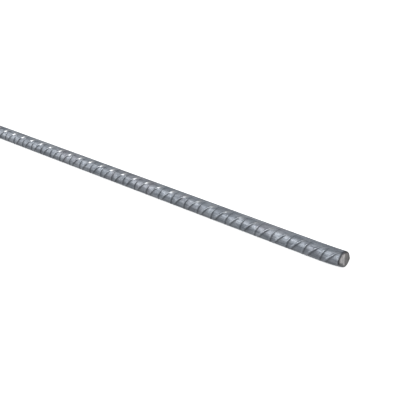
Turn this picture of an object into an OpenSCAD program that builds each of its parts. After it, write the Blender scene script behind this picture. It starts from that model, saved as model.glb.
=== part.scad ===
// Straight reinforcing bar for concrete, cut to a shop length with a shear.
// The bar lies along X. Z = 0 is the surface that it lies on, under the middle of its length.
// All sizes are in millimetres.

/* [Bar] */
// Nominal diameter: a plain round of this size has the weight of the ribbed bar
bar_d = 12; // [6:1:40]
// Length that the bar is cut to
bar_length = 1000; // [100:10:12000]

/* [Near cut end] */
// Length of bar over which the shear blade drew the near edge in
near_edge_length = 1.4; // [0.2:0.1:4]
// How far the near edge is drawn in towards the axis
near_edge_draw = 0.5; // [0.1:0.1:1.5]

/* [Far cut end] */
// Length of bar over which the shear blade drew the far edge in
far_edge_length = 1.4; // [0.2:0.1:4]
// How far the far edge is drawn in towards the axis
far_edge_draw = 0.5; // [0.1:0.1:1.5]

/* [Hidden] */
bar_r = bar_d / 2;
edge_step = 15; // degrees of arc between the points of a drawn edge
$fn = 96;

// Quarter of an ellipse from the rim of the cut face to the full round, as [radius, distance from the cut]
function drawn_edge(length, draw) =
    [for (a = [0:edge_step:90]) [bar_r - draw + draw * sin(a), length * (1 - cos(a))]];

// The bar as one rolled piece, turned about its axis and laid down along X
module ribbed_bar() {
    far_edge = drawn_edge(far_edge_length, far_edge_draw);
    near_edge = [for (p = drawn_edge(near_edge_length, near_edge_draw)) [p.x, bar_length - p.y]];
    outline = concat(
        [[0, 0]],
        far_edge,
        [for (i = [len(near_edge) - 1:-1:0]) near_edge[i]],
        [[0, bar_length]]
    );
    color([0.44, 0.47, 0.52])
        translate([-bar_length / 2, 0, bar_r])
            rotate([0, 90, 0])
                rotate_extrude()
                    polygon(outline);
}

ribbed_bar();
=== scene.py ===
"""A straight ribbed reinforcing bar: rolled ribs, sheared ends and mill scale, and a studio round it."""

import math

import bmesh
import bpy
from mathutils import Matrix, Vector, noise


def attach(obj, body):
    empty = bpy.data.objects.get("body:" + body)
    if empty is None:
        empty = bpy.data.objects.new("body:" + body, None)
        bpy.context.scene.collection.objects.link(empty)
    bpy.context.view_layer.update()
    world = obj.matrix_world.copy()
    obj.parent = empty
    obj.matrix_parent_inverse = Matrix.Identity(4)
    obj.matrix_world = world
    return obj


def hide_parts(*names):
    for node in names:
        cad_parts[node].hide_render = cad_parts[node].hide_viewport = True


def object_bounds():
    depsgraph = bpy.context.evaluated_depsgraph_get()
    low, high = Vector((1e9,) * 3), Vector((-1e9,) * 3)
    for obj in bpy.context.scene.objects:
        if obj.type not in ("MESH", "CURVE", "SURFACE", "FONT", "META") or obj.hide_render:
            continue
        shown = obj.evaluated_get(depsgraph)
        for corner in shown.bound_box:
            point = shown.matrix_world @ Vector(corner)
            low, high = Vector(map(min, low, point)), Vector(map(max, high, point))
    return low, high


bl_info = {
    "name": "Ribbed Reinforcing Bar",
    "version": (1, 0, 0),
    "blender": (4, 5, 0),
    "location": "View3D > Sidebar > Rebar",
    "description": "Rolls a reinforcing bar's ribs, shears its ends and finishes its steel",
    "category": "Add Mesh",
}

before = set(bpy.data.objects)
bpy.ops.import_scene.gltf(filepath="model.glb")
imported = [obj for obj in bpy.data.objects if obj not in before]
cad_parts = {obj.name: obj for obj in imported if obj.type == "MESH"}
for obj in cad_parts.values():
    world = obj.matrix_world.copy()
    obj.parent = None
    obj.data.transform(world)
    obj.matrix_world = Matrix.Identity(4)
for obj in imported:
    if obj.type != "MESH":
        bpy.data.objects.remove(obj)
FRAME_LOW, FRAME_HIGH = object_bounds()
BAR_NODE = "ribbed_bar"
MM = 0.001  # a millimetre in the frame's metres

BAR_LENGTH = FRAME_HIGH.x - FRAME_LOW.x
BAR_DIAMETER = FRAME_HIGH.z - FRAME_LOW.z
AXIS_HEIGHT = (FRAME_LOW.z + FRAME_HIGH.z) / 2
NEAR_CUT = FRAME_HIGH.x
FAR_CUT = FRAME_LOW.x


# ---------------------------------------------------------------- the settings


def millimetres(name, description, default):
    """A length property, with its default given in millimetres."""
    return bpy.props.FloatProperty(
        name=name, description=description, default=default * MM, unit="LENGTH", precision=5, min=0.0
    )


def degrees(name, description, default):
    """An angle property, with its default given in degrees."""
    return bpy.props.FloatProperty(
        name=name, description=description, default=math.radians(default), subtype="ANGLE"
    )


def colour(name, description, default):
    """A colour property in linear light."""
    return bpy.props.FloatVectorProperty(
        name=name, description=description, default=default, subtype="COLOR", size=3, min=0.0, max=1.0
    )


def share(name, description, default):
    """A number from nought to one."""
    return bpy.props.FloatProperty(
        name=name, description=description, default=default, subtype="FACTOR", min=0.0, max=1.0
    )


def light_strength(name, description, default):
    """The strength of a light."""
    return bpy.props.FloatProperty(name=name, description=description, default=default, min=0.0)


class BarSizes(bpy.types.PropertyGroup):
    """Sizes of the rolled bar."""

    core_diameter: millimetres("Core diameter", "Across the round between the ribs", 11.7)
    rib_spacing: millimetres("Rib spacing", "From one rib to the next along the bar", 7.2)
    rib_height: millimetres("Rib height", "How far a rib stands out at the middle of its row", 0.51)
    row_middle: degrees("Row middle", "Where the front row of ribs has its middle, above level", 12.0)
    row_half_span: degrees("Row half span", "From the middle of the front row of ribs to its end", 73.0)
    back_half_span: degrees("Back half span", "From the middle of the back row of ribs to its end", 66.0)
    steep_lean: degrees("Steep lean", "Angle of the front row's steep ribs to the bar's axis", 66.0)
    shallow_lean: degrees("Shallow lean", "Angle of the front row's shallow ribs to the bar's axis", 45.0)
    back_lean: degrees("Back lean", "Angle of the back row's ribs to the bar's axis", 58.0)
    first_rib: millimetres("First rib", "From the near cut to the middle of the first rib", 0.05)
    shallow_lag: millimetres("Shallow lag", "How far past half way a shallow rib follows a steep one", 0.6)
    # The next three place the rubbed shoulders, which also carry a painted glint.
    rubbed_glint_middle: degrees("Slid middle", "Middle of the shallow ribs' rubbed shoulders, above level", 63.0)
    rubbed_glint_half_span: degrees("Slid half span", "From the middle of a rubbed shoulder to its end", 27.0)
    rubbed_glint_reach: millimetres("Slid reach", "From a cut to where the shoulders are rubbed in full", 210.0)
    seam_height: millimetres("Seam height", "How far the rolling seams stand out between the rows", 0.22)
    seam_half_width: degrees("Seam half width", "From a seam's top to where a third of it is left", 7.0)
    unevenness: share("Unevenness", "How much one rib's height differs from the next", 0.12)
    waviness: millimetres("Waviness", "How far the rolled round wanders from true", 0.015)
    rows_around: bpy.props.IntProperty(
        name="Rows around", description="Rows of faces round the bar", default=48, min=24, max=96
    )


class ShearedEnds(bpy.types.PropertyGroup):
    """How the shear left the two ends."""

    bend_length: millimetres("Bend length", "How far from a cut the shear bent the bar", 24.0)
    bend_rise: millimetres("Bend rise", "How far the shear lifted the very end of the bar", 0.4)
    pressed_side: degrees("Pressed side", "Where the blade met the round, above level at the front", -52.0)
    roll_length: millimetres("Roll length", "Length that the blade drew in on the pressed side", 16.0)
    roll_depth: millimetres("Roll depth", "How far the blade drew the pressed side in", 1.15)
    rim_length: millimetres("Rim length", "Length of the drawn edge away from the pressed side", 0.8)
    rim_depth: millimetres("Rim depth", "How far the edge is drawn in away from the pressed side", 0.15)
    # The next three set a band of painted shade along the drawn-in edge by each cut, on the skin and round
    # the cut's rim.
    shade_band_length: millimetres("Burnt length", "Length of the dark band that the shear left by a cut", 1.3)
    shade_band_width: millimetres("Burnt width", "Width of that band on a cut, off the pressed side", 0.6)
    pressed_shade_width: millimetres("Smeared width", "Width of that band on a cut, on the pressed side", 3.4)
    # The next three darken the top of each cut and its upper front side with painted shade.
    shaded_top: millimetres("Dull top", "Height above the axis where the dull top of a cut begins", 4.5)
    shaded_chord: millimetres("Dull chord", "From the axis to a cut's dull side, high at the front", 4.75)
    shaded_lean: degrees("Dull lean", "Where a cut's dull side lies, above level at the front", 39.0)
    facet_line: millimetres("Facet line", "How far behind the axis the two facets of a cut meet", 0.6)
    facet_slope: degrees("Facet slope", "Slope of the wiped facet of a cut, at the front", 1.0)
    torn_slope: degrees("Torn slope", "Slope of the torn facet of a cut, at the back", 0.5)
    tear_depth: millimetres("Tear depth", "Roughness of the torn steel", 0.16)


class BarFinish(bpy.types.PropertyGroup):
    """Colours of the steel, with the painted shade and painted glints laid on it."""

    scale_dark: colour("Dark scale", "Thick blue-grey mill scale", (0.150, 0.167, 0.198))
    scale_middle: colour("Scale", "Plain mill scale", (0.300, 0.336, 0.386))
    scale_pale: colour("Pale scale", "Thin, bright mill scale", (0.530, 0.565, 0.620))
    scale_warm: colour("Warm tint", "Faint violet brown tint of overheated scale", (0.335, 0.300, 0.335))
    # Near-white worn steel that also paints the glints on the rubbed shoulders.
    worn_steel_and_glint: colour("Worn steel", "Steel rubbed bright on the ribs", (0.930, 0.940, 0.955))
    # Dark scale for spots on the cuts, and painted shade in the ribs' roots, by the cuts and on the cuts'
    # top and upper front side.
    dark_scale_and_painted_shade: colour("Root scale", "Dark scale in the roots of the ribs", (0.045, 0.050, 0.060))
    cut_bright: colour("Sheared steel", "Smooth bare steel that the blade wiped", (0.880, 0.860, 0.865))
    cut_torn: colour("Torn steel", "Dull steel that broke away", (0.300, 0.292, 0.285))


class StageSettings(bpy.types.PropertyGroup):
    """Camera, floor and lights."""

    camera_azimuth: degrees("Camera azimuth", "Turn of the view round the bar", 45.025)
    camera_elevation: degrees("Camera elevation", "Height of the view above level", 21.801)
    camera_distance: millimetres("Camera distance", "From the middle of the view to the camera", 629.2)
    view_centre: millimetres("View centre", "From the near cut to the middle of the view", 124.6)
    view_rise: millimetres("View rise", "Height of the middle of the view above the bar's axis", 1.16)
    focal_length: bpy.props.FloatProperty(
        name="Focal length", description="Lens of the camera", default=73.40, unit="CAMERA"
    )
    key_strength: light_strength("Key light", "Light from high at the front, towards the far end", 0.88)
    side_strength: light_strength("Side light", "Light from low at the far end, towards the front", 0.92)
    end_strength: light_strength("End light", "Light from behind, beyond the near end", 1.1)
    light_spread: degrees("Light spread", "How wide the key light looks from the bar", 34.0)
    room_light: share("Room light", "Strength of the even light from all round", 0.33)
    floor_colour: colour("Floor", "Plain pale floor", (1.0, 1.0, 1.0))


# ---------------------------------------------------------------- the rolled bar

# The lines of faces beside a rib: how far each one lies from the rib's middle, and the share of the rib's
# height there.
RIB_SECTION = (
    (0.0, 1.0),
    (0.26 * MM, 0.97),
    (0.48 * MM, 0.80),
    (0.78 * MM, 0.36),
    (1.04 * MM, 0.08),
    (1.40 * MM, 0.0),
)
LINES_PER_RIB = 2 * len(RIB_SECTION)
# Lines are counted from a rib's middle, and those towards the near cut are above nought. This is how much
# painted shade lies on each of them: a dark line of shade beside each rib, most on its side towards the
# near cut.
ROOT_SHADE = {-5: 0.1, -4: 0.2, 2: 0.3, 3: 0.9, 4: 1.0, 5: 0.35}
# How bright each of them is painted on the shallow ribs' upper shoulders: worn steel where they rubbed on
# other bars, and a painted glint.
RUBBED_AND_GLINT = {0: 0.3, 1: 0.7, 2: 1.0, 3: 1.0, 4: 0.9, 5: 0.4}
RUN_OUT = 4.0  # how bluntly a rib runs out at its ends: 2 is a plain arc, more is blunter
END_WIDTH = 0.75  # how wide a rib still is at its ends, as a share of its width in the middle
SLID_WIDTH = 0.5  # how much wider a rubbed shoulder is, as a share of the same
FOOT_ROOM = 0.44  # how much of the way to the next rib a rib's foot may take
TURN_IN_RIBS = 4  # how many ribs further on the lines are after one turn round the bar
WELD = 0.004 * MM  # how close the sheet's two sides lie where they are welded

# Steps through the noise that fills the ribs unevenly: for each rib, for the back row and for each radian.
FILL_BY_RIB = 1.37
FILL_BY_ROW = 7.3
FILL_BY_ANGLE = 1.1
WAVE_LENGTH = 22 * MM  # how long the waves in the round are along the bar
WAVES_AROUND = 2.2  # how closely those waves follow each other round the bar

# The skin's map: the bar's length lies in strips one above the other, with the two cuts side by side above.
SKIN_MAP = "OFBake"
STRIPS = 5
STRIP_PITCH = 0.176  # from one strip to the next
STRIP_GAP = 0.005  # what is left bare between them
CUT_PATCH = 0.11  # the side of a cut's square patch
CUT_FILL = 0.85  # how much of its patch a cut as wide as the bar would fill


class RibLayout:
    """Where each rib runs on the round of the bar. Angles start level at the front and grow upwards."""

    def __init__(self, sizes):
        self.core = sizes.core_diameter / 2
        self.spacing = sizes.rib_spacing
        self.height = sizes.rib_height
        self.half_span = sizes.row_half_span
        self.back_half_span = sizes.back_half_span
        self.front = sizes.row_middle
        self.back = sizes.row_middle + math.pi
        self.seam_height = sizes.seam_height
        self.seam_half_width = sizes.seam_half_width
        self.rubbed_glint_middle = sizes.rubbed_glint_middle
        self.rubbed_glint_half_span = sizes.rubbed_glint_half_span
        self.rubbed_glint_reach = sizes.rubbed_glint_reach
        self.unevenness = sizes.unevenness
        self.waviness = sizes.waviness
        self.start = self.front - math.pi / 2
        self.turn = TURN_IN_RIBS * self.spacing
        self.leans = (sizes.steep_lean, sizes.shallow_lean)
        self.back_lean = sizes.back_lean
        self.first_rib = NEAR_CUT - sizes.first_rib
        lags = (0.0, sizes.shallow_lag)
        self.courses = [self.course(lean, lag) for lean, lag in zip(self.leans, lags)]

    def course(self, lean, lag):
        """The knots (angle, distance along the bar) of a rib's line round the whole bar."""
        run = self.core / math.tan(lean) * self.half_span
        back_run = self.core / math.tan(self.back_lean) * self.back_half_span
        middle = self.turn / 2
        front_low, front_high = self.front - self.half_span, self.front + self.half_span
        back_low, back_high = self.back - self.back_half_span, self.back + self.back_half_span
        full = 2 * math.pi
        return (
            (back_high - full, middle + back_run - self.turn),
            (front_low, -run - lag),
            (front_high, run - lag),
            (back_low, middle - back_run),
            (back_high, middle + back_run),
            (front_low + full, self.turn - run - lag),
        )

    def along(self, rib, angle):
        """Distance along the bar of a rib's middle line at an angle."""
        knots = self.courses[rib % 2]
        for (start, x_start), (end, x_end) in zip(knots, knots[1:]):
            if angle <= end:
                break
        run = (x_end - x_start) * (angle - start) / (end - start)
        return self.first_rib - rib * self.spacing + x_start + run

    def in_front(self, angle):
        """Whether an angle is on the front row's half of the bar."""
        return abs(angle - self.front) < math.pi / 2

    def lean_at(self, rib, angle):
        """The rib's angle to the bar's axis."""
        return self.leans[rib % 2] if self.in_front(angle) else self.back_lean

    def crescent(self, angle):
        """The rib's height at an angle, as a share of its height at the middle of its row."""
        if self.in_front(angle):
            off = abs(angle - self.front) / self.half_span
        else:
            off = abs(angle - self.back) / self.back_half_span
        return 1 - off ** RUN_OUT if off < 1 else 0.0

    def rib_rise(self, rib, angle):
        """The height of a rib at an angle; no two ribs fill quite the same."""
        row = 0.0 if self.in_front(angle) else FILL_BY_ROW
        where = Vector((rib * FILL_BY_RIB, row, angle * FILL_BY_ANGLE))
        fill = 1 - self.unevenness * abs(noise.noise(where))
        return self.height * self.crescent(angle) * fill

    def rub_and_glint(self, rib, angle):
        """How much a shallow rib's upper shoulder is rubbed and painted with a glint, which fades towards a
        cut.
        """
        off = abs(angle - self.rubbed_glint_middle) / self.rubbed_glint_half_span
        if rib % 2 == 0 or off > 1 or not self.in_front(angle):
            return 0.0
        from_cut = min(rib * self.spacing, BAR_LENGTH - rib * self.spacing)
        reached = min(1.0, max(0.0, from_cut / self.rubbed_glint_reach))
        return reached * (1 - off * off) ** 2

    def seam(self, angle):
        """The height of the rolling seams, half way between the rows."""
        off = abs((angle - self.front) % math.pi - math.pi / 2) / self.seam_half_width
        return self.seam_height * math.exp(-off * off)

    def wander(self, x, angle):
        """How far the round is out of true at a place on the bar."""
        where = Vector((x / WAVE_LENGTH, WAVES_AROUND * math.cos(angle), WAVES_AROUND * math.sin(angle)))
        return self.waviness * noise.noise(where)


def rib_line(layout, rib, step, angle):
    """The place along the bar of a line of faces beside a rib, and the share of the rib's height there."""
    middle = layout.along(rib, angle)
    if step == 0:
        return middle, RIB_SECTION[0][1]
    side = 1 if step > 0 else -1
    neighbour = layout.along(rib - side, angle)
    if abs(step) == len(RIB_SECTION):
        return (middle + neighbour) / 2, 0.0
    slant = math.sin(layout.lean_at(rib, angle))
    width = END_WIDTH + (1 - END_WIDTH) * layout.crescent(angle) + SLID_WIDTH * layout.rub_and_glint(rib, angle)
    foot = RIB_SECTION[-1][0] / slant * width
    room = FOOT_ROOM * abs(neighbour - middle)
    fitted = width * min(1.0, room / foot)
    distance, height = RIB_SECTION[abs(step)]
    return middle + side * distance / slant * fitted, height


def map_skin(bm, skin, places, distances, lines_per_strip, rows):
    """Lays the flat sheet on the skin's map, a strip of whole ribs at a time."""
    longest = max(
        distances[min(first + lines_per_strip, len(distances) - 1)] - distances[first]
        for first in range(0, len(distances) - 1, lines_per_strip)
    )
    for face in bm.faces:
        strip = min(places[vert][0] for vert in face.verts) // lines_per_strip
        start = distances[strip * lines_per_strip]
        for loop in face.loops:
            line, row = places[loop.vert]
            across = STRIP_GAP / 2 + (STRIP_PITCH - STRIP_GAP) * row / rows
            along = (distances[line] - start) / longest
            loop[skin].uv = (STRIP_GAP + (1 - 2 * STRIP_GAP) * along, strip * STRIP_PITCH + across)


def wrapped_sheet(layout, rows):
    """A flat sheet whose lines follow the ribs, rolled into the bar's round and welded along its seam."""
    # The sheet runs on past both cuts, because its lines move along the bar as they go round it.
    spare = layout.turn + 2 * layout.spacing
    first = -math.ceil(spare / layout.spacing)
    ribs = math.ceil((BAR_LENGTH + 2 * spare) / layout.spacing)
    ribs_per_strip = math.ceil(ribs / STRIPS)
    ribs = ribs_per_strip * STRIPS
    lines = ribs * LINES_PER_RIB
    bm = bmesh.new()
    bmesh.ops.create_grid(bm, x_segments=lines, y_segments=rows, size=0.5)
    # The masks that the finish is laid on by; the sheared ends fill in the last one.
    relief = bm.verts.layers.float.new("rib_relief")
    # Painted shade beside the ribs.
    painted_root_shade = bm.verts.layers.float.new("rib_root")
    # Worn steel and painted glints on the rubbed shoulders.
    shoulder = bm.verts.layers.float.new("rib_rubbed")
    # cut_edge carries the band of painted shade by each cut.
    bm.verts.layers.float.new("cut_edge")
    skin = bm.loops.layers.uv.new(SKIN_MAP)
    places = {
        vert: (round((vert.co.x + 0.5) * lines), round((vert.co.y + 0.5) * rows)) for vert in bm.verts
    }

    def rib_and_step(line):
        """The rib that a line of faces belongs to, and how many lines it lies from that rib's middle."""
        rib, step = divmod(line, LINES_PER_RIB)
        return first + ribs - rib, step - len(RIB_SECTION) + 1

    distances = [rib_line(layout, *rib_and_step(line), layout.front)[0] for line in range(lines + 1)]
    map_skin(bm, skin, places, distances, ribs_per_strip * LINES_PER_RIB, rows)
    for vert, (line, row) in places.items():
        angle = layout.start + row / rows * 2 * math.pi
        rib, step = rib_and_step(line)
        x, height = rib_line(layout, rib, step, angle)
        rise = layout.rib_rise(rib, angle) * height
        radius = layout.core + rise + layout.seam(angle) + layout.wander(x, angle)
        vert.co = (x, -radius * math.cos(angle), AXIS_HEIGHT + radius * math.sin(angle))
        formed = layout.crescent(angle) ** 0.5
        rub_and_glint = layout.rub_and_glint(rib, angle)
        vert[relief] = formed * height
        # Painted shade: a dark line beside each rib, left off the rubbed shoulders.
        vert[painted_root_shade] = formed * ROOT_SHADE.get(step, 0.0) * (1 - rub_and_glint)
        # Rubbed steel and a painted glint on the shallow ribs' upper shoulders.
        vert[shoulder] = rub_and_glint * RUBBED_AND_GLINT.get(step, 0.0)
    bmesh.ops.remove_doubles(bm, verts=bm.verts, dist=WELD)
    return bm


# ---------------------------------------------------------------- the sheared ends

# How far before each cut the skin is cut into rings, so that the drawn edge has faces to bend.
EDGE_RINGS = tuple(back * MM for back in (6.0, 4.6, 3.6, 2.8, 2.1, 1.5, 1.0, 0.65, 0.35, 0.14))
# The sizes of the rings of a cut face, as shares of its rim.
CUT_RINGS = (0.975, 0.93, 0.86, 0.77, 0.67, 0.56, 0.45, 0.34, 0.23, 0.12)
FACET_REACH = EDGE_RINGS[0]  # how far before a cut its sloping facets begin to lean the skin
HAIR = 0.001 * MM  # how close to a ring's plane a corner is taken as on it
AT_CUT = 10 * HAIR  # how close to a cut a corner is taken as on it
PRESS_FOCUS = 4  # how narrow the pressed side is round the bar: more is narrower
RIM_CURVE = 2.0  # how the drawn edge falls away from the pressed side: 1 is straight, more is rounder
ROLL_CURVE = 1.2  # the same on the pressed side
TEAR_SIZE = 1.1 * MM  # how wide the tears on a cut are
TEAR_LAYERS = (1.0, 2.0, 3)  # the finer tears in them: how they fade, how much finer each is, how many
TEAR_MARGIN = 1 / 8  # how far inside the rim they reach their full depth, as a share of the radius
WIPED_ROUGHNESS = 0.6  # how deep they are on the wiped facet, as a share of the tear depth
TORN_ROUGHNESS = 1.6  # the same on the torn facet


def ring_round(bm, place, outward, clear=False):
    """Cuts a ring of edges round the bar, and clears what lies past it if asked."""
    bmesh.ops.bisect_plane(
        bm, geom=bm.verts[:] + bm.edges[:] + bm.faces[:], dist=HAIR,
        plane_co=(place, 0, 0), plane_no=(outward, 0, 0), clear_outer=clear,
    )


def close_cut(bm, place, patch):
    """Closes a cut with rings of faces that shrink to the bar's axis, and lays it on the skin's map."""
    skin = bm.loops.layers.uv[SKIN_MAP]
    centre = Vector((place, 0, AXIS_HEIGHT))
    rim = [edge for edge in bm.edges if edge.is_boundary and abs(edge.verts[0].co.x - place) < AT_CUT]
    faces = []
    before = 1.0
    for ring in CUT_RINGS:
        made = bmesh.ops.extrude_edge_only(bm, edges=rim)["geom"]
        faces += [part for part in made if isinstance(part, bmesh.types.BMFace)]
        for vert in [part for part in made if isinstance(part, bmesh.types.BMVert)]:
            vert.co = centre + (vert.co - centre) * ring / before
        rim = [part for part in made if isinstance(part, bmesh.types.BMEdge) and part.is_boundary]
        before = ring
    faces += bmesh.ops.contextual_create(bm, geom=rim)["faces"]
    middle = Vector((CUT_PATCH * (patch + 0.5), STRIPS * STRIP_PITCH + CUT_PATCH / 2))
    for face in faces:
        face.material_index = 1
        for loop in face.loops:
            off = loop.vert.co - centre
            loop[skin].uv = middle + Vector((off.y, off.z)) / BAR_DIAMETER * CUT_PATCH * CUT_FILL


def drawn_in(ends, core, back, pressed):
    """How far the skin is drawn in at a distance before a cut, as a share of the radius."""
    length = ends.rim_length + (ends.roll_length - ends.rim_length) * pressed
    depth = ends.rim_depth + (ends.roll_depth - ends.rim_depth) * pressed
    curve = RIM_CURVE + (ROLL_CURVE - RIM_CURVE) * pressed
    return depth / core * max(0.0, 1 - back / length) ** curve


def sloped_back(ends, y):
    """How far a cut's facets, which meet in a line behind the axis, slope back at a place across it."""
    behind = y - ends.facet_line
    return max(math.tan(ends.torn_slope) * behind, -math.tan(ends.facet_slope) * behind)


def torn_back(ends, y, z, place, inside):
    """How deep the steel is torn at a place on a cut."""
    rough = TORN_ROUGHNESS if y > ends.facet_line else WIPED_ROUGHNESS
    tears = abs(noise.fractal(Vector((y, z, place)) / TEAR_SIZE, *TEAR_LAYERS))
    return ends.tear_depth * rough * tears * min(1.0, inside / TEAR_MARGIN)


def press_end(bm, ends, core, place, outward):
    """Bends an end, draws in its edge, marks the band of painted shade along that edge and roughens the
    cut.
    """
    edge = bm.verts.layers.float["cut_edge"]
    for vert in bm.verts:
        back = (place - vert.co.x) * outward
        if back > ends.bend_length:
            continue
        y, z = vert.co.y, vert.co.z - AXIS_HEIGHT
        inside = max(0.0, 1 - math.hypot(y, z) / core)
        pressed = max(0.0, math.cos(math.atan2(z, -y) - ends.pressed_side)) ** PRESS_FOCUS
        drawn = drawn_in(ends, core, back, pressed)
        sloped = sloped_back(ends, y) * max(0.0, 1 - back / FACET_REACH)
        torn = torn_back(ends, y, z, place, inside) if back < AT_CUT else 0.0
        # Painted shade: a dark band along the drawn-in edge, wider on the pressed side.
        band = ends.shade_band_width + (ends.pressed_shade_width - ends.shade_band_width) * pressed
        vert[edge] = max(0.0, 1 - max(back / ends.shade_band_length, inside * core / band))
        bent = ends.bend_rise * (1 - back / ends.bend_length) ** 2
        vert.co.x -= outward * (torn + sloped)
        vert.co.y = y * (1 - drawn)
        vert.co.z = AXIS_HEIGHT + z * (1 - drawn) + bent


def shear_ends(bm, ends, core):
    """Cuts the bar to its length, closes both cuts and shapes them."""
    for patch, (place, outward) in enumerate(((NEAR_CUT, 1), (FAR_CUT, -1))):
        for back in EDGE_RINGS:
            ring_round(bm, place - outward * back, outward)
        ring_round(bm, place, outward, clear=True)
        close_cut(bm, place, patch)
        press_end(bm, ends, core, place, outward)


def sheared_bar_mesh(sizes, ends):
    """The whole bar as one closed mesh."""
    layout = RibLayout(sizes)
    bm = wrapped_sheet(layout, sizes.rows_around)
    shear_ends(bm, ends, layout.core)
    bmesh.ops.recalc_face_normals(bm, faces=bm.faces)
    mesh = bpy.data.meshes.new("reinforcing_bar")
    bm.to_mesh(mesh)
    bm.free()
    mesh.shade_smooth()
    return mesh


# ---------------------------------------------------------------- the steel

# The places of the colours among a Mix node's sockets.
MIX_FIRST = 6
MIX_SECOND = 7
MIX_RESULT = 2


def new_material(name):
    """A node material with only its Principled shader, and that shader."""
    material = bpy.data.materials.new(name)
    material.use_nodes = True
    return material, material.node_tree, material.node_tree.nodes["Principled BSDF"]


def add_node(tree, kind, inputs=None, **settings):
    """A node with its settings, and its inputs set to values or joined to other nodes' outputs."""
    node = tree.nodes.new(kind)
    for name, value in settings.items():
        setattr(node, name, value)
    for name, value in (inputs or {}).items():
        if isinstance(value, bpy.types.NodeSocket):
            tree.links.new(value, node.inputs[name])
        else:
            node.inputs[name].default_value = value
    return node


def calculate(tree, operation, first, second):
    """A Math node's result, kept between nought and one."""
    node = add_node(tree, "ShaderNodeMath", {0: first, 1: second}, operation=operation, use_clamp=True)
    return node.outputs[0]


def between(tree, value, low, high, first=0.0, last=1.0):
    """A value that eases from first to last as another goes from low to high."""
    inputs = {"Value": value, "From Min": low, "From Max": high, "To Min": first, "To Max": last}
    return add_node(tree, "ShaderNodeMapRange", inputs, interpolation_type="SMOOTHSTEP").outputs["Result"]


def past(tree, value, level, blend, last=1.0):
    """A mask that eases in from nought as a value passes a level."""
    return between(tree, value, level - blend, level + blend, 0.0, last)


def skin_mask(tree, name):
    """A mask that the mesh carries."""
    return add_node(tree, "ShaderNodeAttribute", attribute_name=name).outputs["Fac"]


def blended(tree, amount, first, second):
    """One colour laid over another by an amount."""
    node = add_node(tree, "ShaderNodeMix", data_type="RGBA")
    for name, value in (("Factor", amount), (MIX_FIRST, first), (MIX_SECOND, second)):
        if isinstance(value, bpy.types.NodeSocket):
            tree.links.new(value, node.inputs[name])
        else:
            node.inputs[name].default_value = (*value, 1)
    return node.outputs[MIX_RESULT]


def noise_mask(tree, vector, scale, detail, low, high):
    """Noise with its middle stretched to full contrast."""
    inputs = {"Vector": vector, "Scale": scale, "Detail": detail, "Roughness": 0.6, "Distortion": 0.4}
    made = add_node(tree, "ShaderNodeTexNoise", inputs)
    return between(tree, made.outputs["Fac"], low, high)


def steel_skin_group():
    """Masks of worked steel, for scale and bare cuts alike: patches, drawn streaks and grain."""
    group = bpy.data.node_groups.new("steel_skin", "ShaderNodeTree")
    for name, kind, default in (
        ("Vector", "NodeSocketVector", None),
        ("Stretch", "NodeSocketVector", (1.0, 1.0, 1.0)),
        ("Patch Scale", "NodeSocketFloat", 100.0),
        ("Streak Scale", "NodeSocketFloat", 600.0),
        ("Grain Scale", "NodeSocketFloat", 2200.0),
    ):
        socket = group.interface.new_socket(name, in_out="INPUT", socket_type=kind)
        if default is not None:
            socket.default_value = default
    for name in ("Patches", "Streaks", "Grain"):
        group.interface.new_socket(name, in_out="OUTPUT", socket_type="NodeSocketFloat")
    given = add_node(group, "NodeGroupInput").outputs
    drawn = add_node(
        group, "ShaderNodeVectorMath", {0: given["Vector"], 1: given["Stretch"]}, operation="MULTIPLY"
    )
    masks = {
        "Patches": noise_mask(group, given["Vector"], given["Patch Scale"], 4.0, 0.34, 0.66),
        "Streaks": noise_mask(group, drawn.outputs[0], given["Streak Scale"], 3.0, 0.32, 0.68),
        "Grain": noise_mask(group, given["Vector"], given["Grain Scale"], 2.0, 0.30, 0.70),
    }
    add_node(group, "NodeGroupOutput", masks)
    return group


def place_skin(tree, group, where, stretch, patch, streak, grain):
    """The steel skin's masks, with one material's own scales."""
    inputs = {
        "Vector": where,
        "Stretch": stretch,
        "Patch Scale": patch,
        "Streak Scale": streak,
        "Grain Scale": grain,
    }
    return add_node(tree, "ShaderNodeGroup", inputs, node_tree=group).outputs


def weigh(tree, *parts):
    """The sum of masks, each times its weight."""
    total = 0.0
    for mask, weight in parts:
        node = add_node(tree, "ShaderNodeMath", {0: mask, 1: weight, 2: total}, operation="MULTIPLY_ADD")
        total = node.outputs[0]
    return total


def add_bumps(tree, shader, height, strength, distance):
    """Bumps of a height on a shader's surface."""
    inputs = {"Strength": strength, "Distance": distance, "Height": height}
    bump = add_node(tree, "ShaderNodeBump", inputs)
    tree.links.new(bump.outputs["Normal"], shader.inputs["Normal"])


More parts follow.
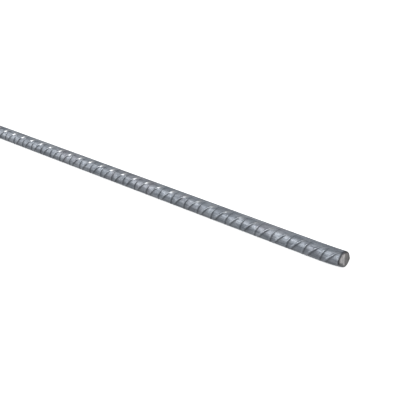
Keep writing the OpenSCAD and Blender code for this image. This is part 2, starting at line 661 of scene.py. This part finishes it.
def mill_scale(finish, group):
    """Blue-grey mill scale: patchy and streaked along the bar, with worn steel and a painted glint on the
    ribs, painted shade in their roots and a band of painted shade by the cuts.
    """
    material, tree, shader = new_material("mill_scale")
    where = add_node(tree, "ShaderNodeTexCoord").outputs["Object"]
    stretch = (0.10, 1.0, 1.0)
    skin = place_skin(tree, group, where, stretch, patch=95.0, streak=620.0, grain=2400.0)
    patches, streaks, grain = skin["Patches"], skin["Streaks"], skin["Grain"]
    tone = weigh(tree, (patches, 0.14), (streaks, 0.50), (grain, 0.36))
    plain = blended(tree, between(tree, tone, 0.0, 0.50), finish.scale_dark, finish.scale_middle)
    bright = blended(tree, between(tree, tone, 0.40, 1.0), plain, finish.scale_pale)
    warmth = noise_mask(tree, where, 42.0, 2.0, 0.46, 0.74)
    warm = blended(tree, calculate(tree, "MULTIPLY", warmth, 0.35), bright, finish.scale_warm)
    relief = skin_mask(tree, "rib_relief")
    rubbed = skin_mask(tree, "rib_rubbed")
    # Painted glint: the rubbed shoulders are laid over with near-white worn steel.
    worn = blended(tree, calculate(tree, "MULTIPLY", rubbed, 0.9), warm, finish.worn_steel_and_glint)
    # Painted shade: the ribs' roots are darkened, most on the side towards the near cut.
    root = skin_mask(tree, "rib_root")
    shaded = blended(tree, calculate(tree, "MULTIPLY", root, 0.5), worn, finish.dark_scale_and_painted_shade)
    # Painted shade: a dark band on the skin by each cut.
    edge = skin_mask(tree, "cut_edge")
    edge_shade = blended(tree, between(tree, edge, 0.0, 0.7, 0.0, 0.8), shaded, finish.dark_scale_and_painted_shade)
    tree.links.new(edge_shade, shader.inputs["Base Color"])
    dull = between(tree, tone, 0.15, 0.85, 0.50, 0.40)
    smooth = between(tree, relief, 0.02, 0.2, 0.0, 0.20)
    scuffed = calculate(tree, "SUBTRACT", smooth, calculate(tree, "MULTIPLY", rubbed, 0.16))
    tree.links.new(calculate(tree, "SUBTRACT", dull, scuffed), shader.inputs["Roughness"])
    tree.links.new(between(tree, rubbed, 0.1, 0.8, 0.4, 1.0), shader.inputs["Metallic"])
    height = weigh(tree, (patches, 0.10), (streaks, 0.55), (grain, 0.35))
    add_bumps(tree, shader, height, strength=0.3, distance=0.08 * MM)
    return material


def sheared_steel(finish, group, ends):
    """Bare steel of the cuts: wiped smooth at the front, torn at the back, with painted shade at the top,
    on one upper front side and round the rim.
    """
    material, tree, shader = new_material("sheared_steel")
    where = add_node(tree, "ShaderNodeTexCoord").outputs["Object"]
    stretch = (1.0, 1.0, 0.14)
    skin = place_skin(tree, group, where, stretch, patch=260.0, streak=1100.0, grain=3000.0)
    patches, streaks, grain = skin["Patches"], skin["Streaks"], skin["Grain"]
    place = add_node(tree, "ShaderNodeSeparateXYZ", {"Vector": where}).outputs
    torn = past(tree, place["Y"], ends.facet_line, 0.2 * MM)
    # Painted shade: the top of the cut and its upper front side are darkened.
    top = past(tree, place["Z"], AXIS_HEIGHT + ends.shaded_top, 0.4 * MM, 0.75)
    lean = ends.shaded_lean
    across = {0: where, 1: (0.0, -math.cos(lean), math.sin(lean))}
    outwards = add_node(tree, "ShaderNodeVectorMath", across, operation="DOT_PRODUCT").outputs["Value"]
    side = past(tree, outwards, ends.shaded_chord + AXIS_HEIGHT * math.sin(lean), 0.3 * MM, 0.65)
    dull = calculate(tree, "MAXIMUM", top, side)
    tone = weigh(tree, (patches, 0.30), (streaks, 0.40), (grain, 0.30))
    mixed = blended(tree, calculate(tree, "MULTIPLY", torn, 0.85), finish.cut_bright, finish.cut_torn)
    spotted = blended(tree, between(tree, tone, 0.25, 0.75, 0.45, 0.0), mixed, finish.dark_scale_and_painted_shade)
    edge = skin_mask(tree, "cut_edge")
    shade_painted = blended(tree, dull, spotted, finish.dark_scale_and_painted_shade)
    # Painted shade round the cut's rim.
    rim_shaded = blended(tree, between(tree, edge, 0.0, 0.6, 0.0, 0.7), shade_painted, finish.dark_scale_and_painted_shade)
    tree.links.new(rim_shaded, shader.inputs["Base Color"])
    tree.links.new(between(tree, tone, 0.2, 0.8, 0.55, 0.38), shader.inputs["Roughness"])
    shader.inputs["Metallic"].default_value = 0.45
    height = weigh(tree, (patches, 0.25), (streaks, 0.45), (grain, 0.30))
    add_bumps(tree, shader, height, strength=0.6, distance=0.15 * MM)
    return material


class REBAR_OT_add_bar(bpy.types.Operator):
    """Roll the ribbed bar, shear its ends and finish its steel"""

    bl_idname = "rebar.add_bar"
    bl_label = "Ribbed bar"
    bl_options = {"REGISTER", "UNDO"}

    def execute(self, context):
        scene = context.scene
        mesh = sheared_bar_mesh(scene.rebar_sizes, scene.rebar_ends)
        bar = bpy.data.objects.new("reinforcing_bar", mesh)
        scene.collection.objects.link(bar)
        group = steel_skin_group()
        mesh.materials.append(mill_scale(scene.rebar_finish, group))
        mesh.materials.append(sheared_steel(scene.rebar_finish, group, scene.rebar_ends))
        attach(bar, "root")
        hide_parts(BAR_NODE)
        return {"FINISHED"}


# ---------------------------------------------------------------- the studio

FLOOR_REACH = 6.0  # from the middle of the floor to its edge
# The soft lights: where each comes from, its width beside the key light's, and its strength's setting.
LIGHTS = {
    "key_light": ((-0.72, -1.43, 1.20), 1.0, "key_strength"),
    "side_light": ((-1.64, -1.02, 0.52), 1.4, "side_strength"),
    "end_light": ((1.60, 0.77, 0.92), 0.5, "end_strength"),
}


def add_floor(context, settings):
    """A plain pale floor that lights itself, so that the bar lies on plain white."""
    bm = bmesh.new()
    bmesh.ops.create_grid(bm, x_segments=1, y_segments=1, size=FLOOR_REACH)
    mesh = bpy.data.meshes.new("floor")
    bm.to_mesh(mesh)
    bm.free()
    floor = bpy.data.objects.new("floor", mesh)
    context.scene.collection.objects.link(floor)
    material, _, shader = new_material("pale_floor")
    shader.inputs["Base Color"].default_value = (*settings.floor_colour, 1)
    shader.inputs["Roughness"].default_value = 0.9
    shader.inputs["Emission Color"].default_value = (*settings.floor_colour, 1)
    shader.inputs["Emission Strength"].default_value = 0.7
    mesh.materials.append(material)
    floor.visible_glossy = False
    floor.visible_diffuse = False


def soft_light(context, name, source, spread, energy):
    """A wide soft light from the direction of its source."""
    data = bpy.data.lights.new(name, "SUN")
    data.angle = spread
    data.energy = energy
    lamp = bpy.data.objects.new(name, data)
    lamp.location = source
    lamp.rotation_euler = (-Vector(source)).to_track_quat("-Z", "Y").to_euler()
    context.scene.collection.objects.link(lamp)


def add_lights(context, settings):
    """Two wide soft lights in front, towards the far end, and one behind that fills the near cut."""
    for name, (source, width, setting) in LIGHTS.items():
        soft_light(context, name, source, settings.light_spread * width, getattr(settings, setting))


def add_room(context, settings):
    """A room that is white to look at and gives a dim, even light."""
    world = bpy.data.worlds.new("studio")
    world.use_nodes = True
    tree = world.node_tree
    seen = add_node(tree, "ShaderNodeLightPath").outputs["Is Camera Ray"]
    glow = between(tree, seen, 0.0, 1.0, settings.room_light, 1.0)
    tree.nodes["Background"].inputs["Color"].default_value = (1, 1, 1, 1)
    tree.links.new(glow, tree.nodes["Background"].inputs["Strength"])
    context.scene.world = world
    context.scene.view_settings.view_transform = "Standard"


def add_camera(context, settings):
    """The camera, level, and looking down along the bar from beyond its near end."""
    turn, height = settings.camera_azimuth, settings.camera_elevation
    back = Vector(
        (math.sin(turn) * math.cos(height), -math.cos(turn) * math.cos(height), math.sin(height))
    )
    data = bpy.data.cameras.new("camera")
    data.lens = settings.focal_length
    data.clip_start = 0.01
    camera = bpy.data.objects.new("camera", data)
    centre = Vector((NEAR_CUT - settings.view_centre, 0, AXIS_HEIGHT + settings.view_rise))
    camera.location = centre + back * settings.camera_distance
    camera.rotation_euler = (-back).to_track_quat("-Z", "Y").to_euler()
    context.scene.collection.objects.link(camera)
    context.scene.camera = camera


class REBAR_OT_add_stage(bpy.types.Operator):
    """Lay the floor, hang the lights and set the camera"""

    bl_idname = "rebar.add_stage"
    bl_label = "Stage"
    bl_options = {"REGISTER", "UNDO"}

    def execute(self, context):
        settings = context.scene.rebar_stage
        add_floor(context, settings)
        add_lights(context, settings)
        add_room(context, settings)
        add_camera(context, settings)
        return {"FINISHED"}


class REBAR_PT_panel(bpy.types.Panel):
    """The bar's pieces and sizes"""

    bl_idname = "REBAR_PT_panel"
    bl_label = "Ribbed Reinforcing Bar"
    bl_space_type = "VIEW_3D"
    bl_region_type = "UI"
    bl_category = "Rebar"

    def draw(self, context):
        for operator, groups in (
            (REBAR_OT_add_bar, ("rebar_sizes", "rebar_ends", "rebar_finish")),
            (REBAR_OT_add_stage, ("rebar_stage",)),
        ):
            box = self.layout.box()
            box.operator(operator.bl_idname)
            for group in groups:
                settings = getattr(context.scene, group)
                for name in settings.__annotations__:
                    box.prop(settings, name)


SETTINGS = {
    "rebar_sizes": BarSizes,
    "rebar_ends": ShearedEnds,
    "rebar_finish": BarFinish,
    "rebar_stage": StageSettings,
}
CLASSES = (*SETTINGS.values(), REBAR_OT_add_bar, REBAR_OT_add_stage, REBAR_PT_panel)


def register():
    """Adds the settings, the operators and the panel."""
    for cls in CLASSES:
        bpy.utils.register_class(cls)
    for name, group in SETTINGS.items():
        setattr(bpy.types.Scene, name, bpy.props.PointerProperty(type=group))


def unregister():
    """Takes them away again."""
    for name in SETTINGS:
        delattr(bpy.types.Scene, name)
    for cls in reversed(CLASSES):
        bpy.utils.unregister_class(cls)


def main():
    """Makes the bar and its stage."""
    register()
    bpy.ops.rebar.add_bar()
    bpy.ops.rebar.add_stage()


if __name__ == "__main__":
    main()
